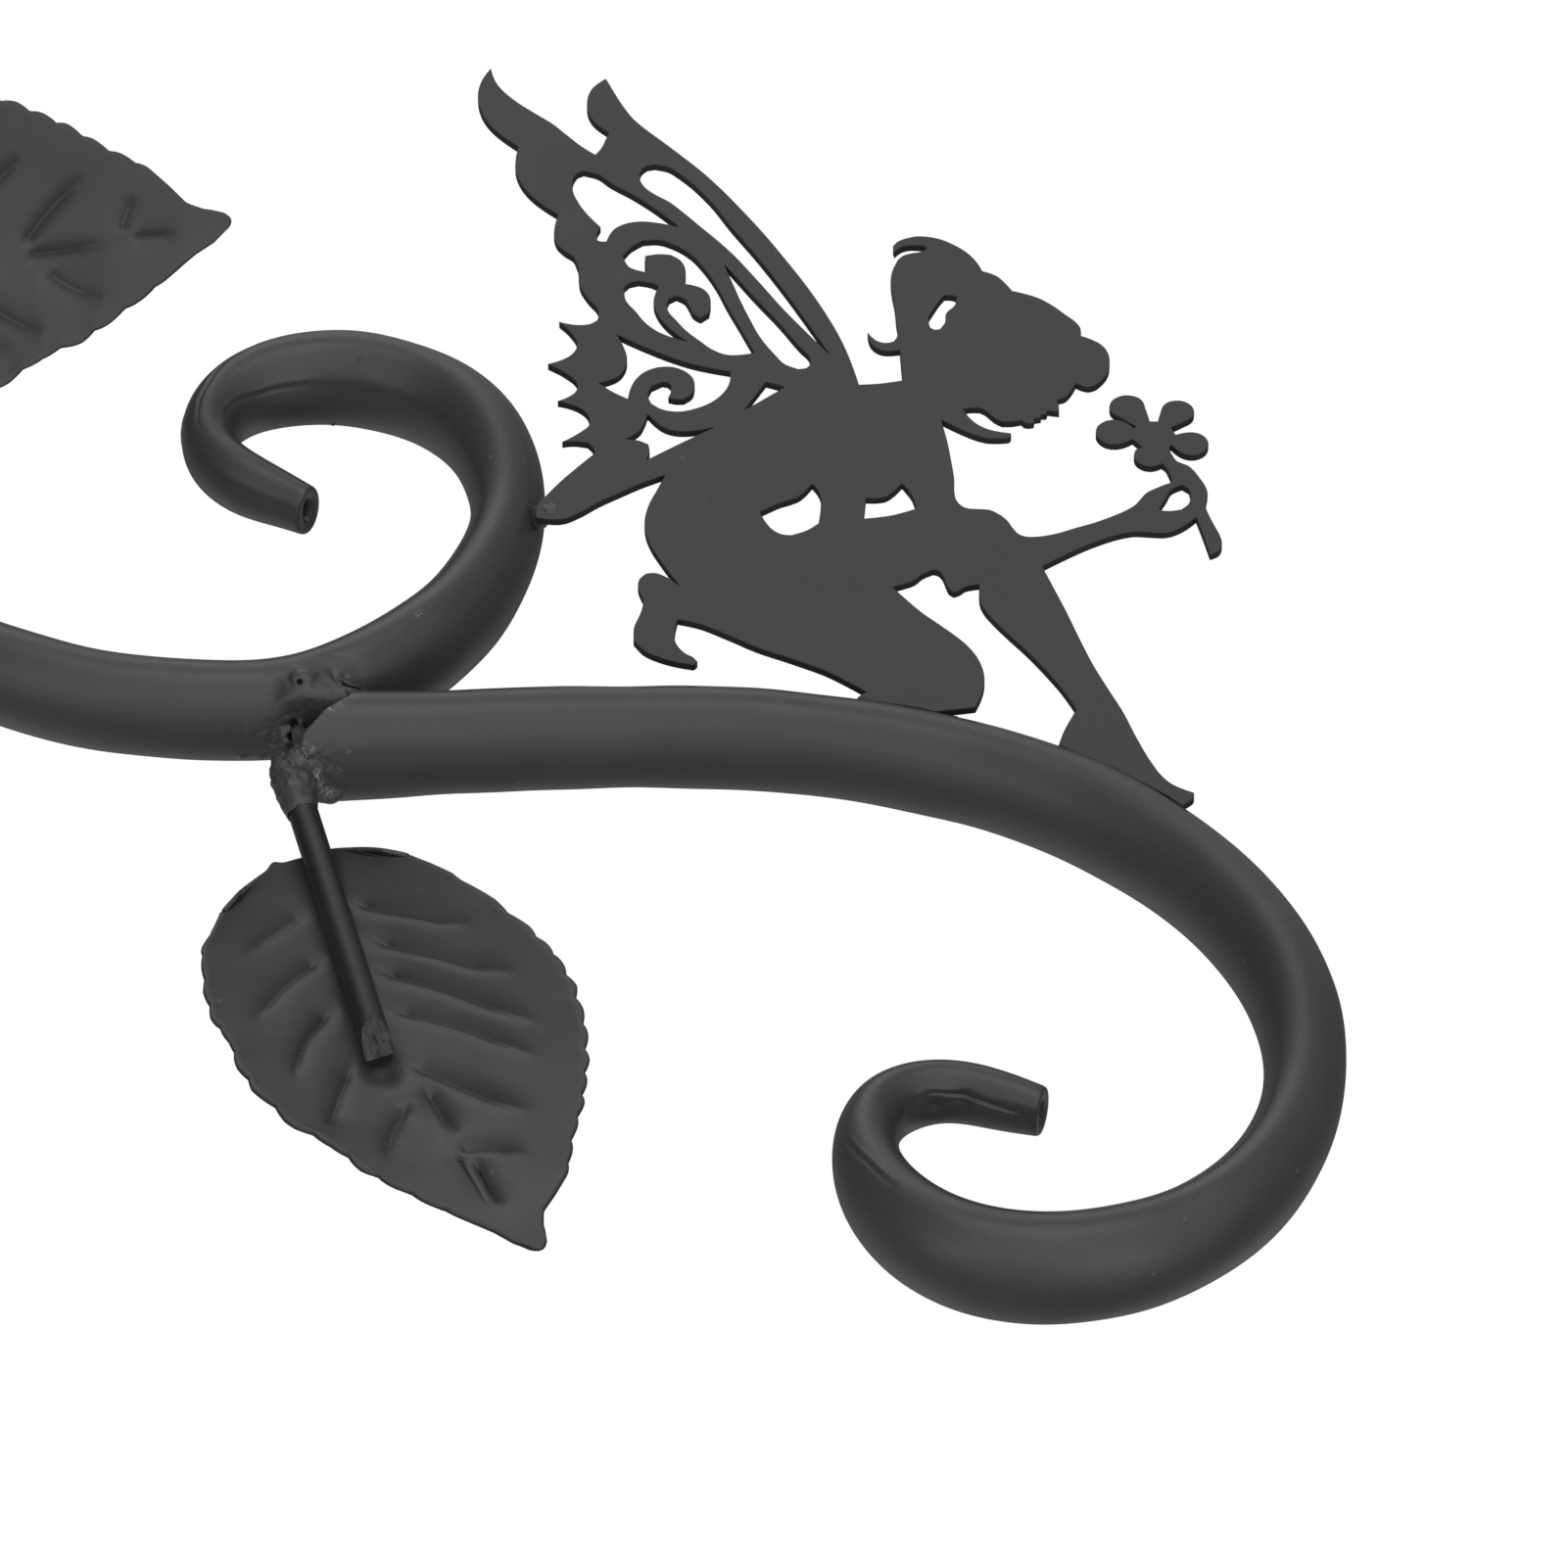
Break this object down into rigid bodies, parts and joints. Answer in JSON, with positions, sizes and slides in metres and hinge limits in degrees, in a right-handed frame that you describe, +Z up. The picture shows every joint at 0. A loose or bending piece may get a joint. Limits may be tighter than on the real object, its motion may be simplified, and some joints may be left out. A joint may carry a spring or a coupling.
{
  "type": "plant hanger bracket",
  "caption": "Black steel garden bracket with a scrolled arm, a hook for a basket, pressed leaves and a kneeling winged figure.",
  "frame": {"origin": "centre of the wall plate's back face, on the wall", "axes": "+X out from the wall along the arm, +Z up, the figure's show side faces -Y"},
  "size_m": [0.3034, 0.0409, 0.2902],
  "materials": {
    "tube_black": "satin",
    "plate_black": "matt",
    "leaf_black": "satin"
  },
  "bodies": {
    "root": {"wall_plate": "plate_black", "arm_tube": "tube_black", "hook_tube": "tube_black", "fairy_plate": "plate_black", "lower_leaf": "leaf_black", "lower_leaf_stem": "leaf_black", "upper_leaf": "leaf_black", "upper_leaf_stem": "leaf_black"}
  },
  "joints": []
}
